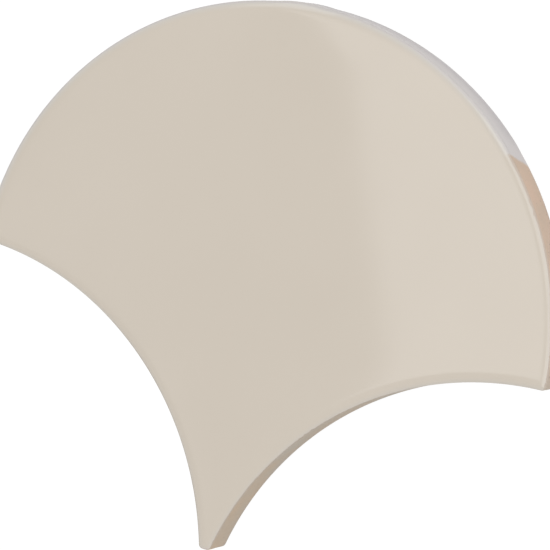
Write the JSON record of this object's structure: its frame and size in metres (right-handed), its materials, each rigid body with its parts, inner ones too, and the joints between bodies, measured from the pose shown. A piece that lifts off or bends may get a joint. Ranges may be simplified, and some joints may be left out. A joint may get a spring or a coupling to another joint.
{
  "type": "fish scale tile",
  "caption": "Glazed ceramic wall tile shaped like a fish scale, a domed crown over two hollowed flanks that meet in a blunt tip, with a keyed back.",
  "frame": {"origin": "centre of the dome's circle, on the plane of the back", "axes": "+Z out of the glazed face, +Y from the dome's centre to the crown, +X to the right shoulder"},
  "size_m": [0.12, 0.1064, 0.008],
  "materials": {
    "glaze": "gloss"
  },
  "bodies": {
    "root": {"fan_tile": "glaze"}
  },
  "joints": []
}
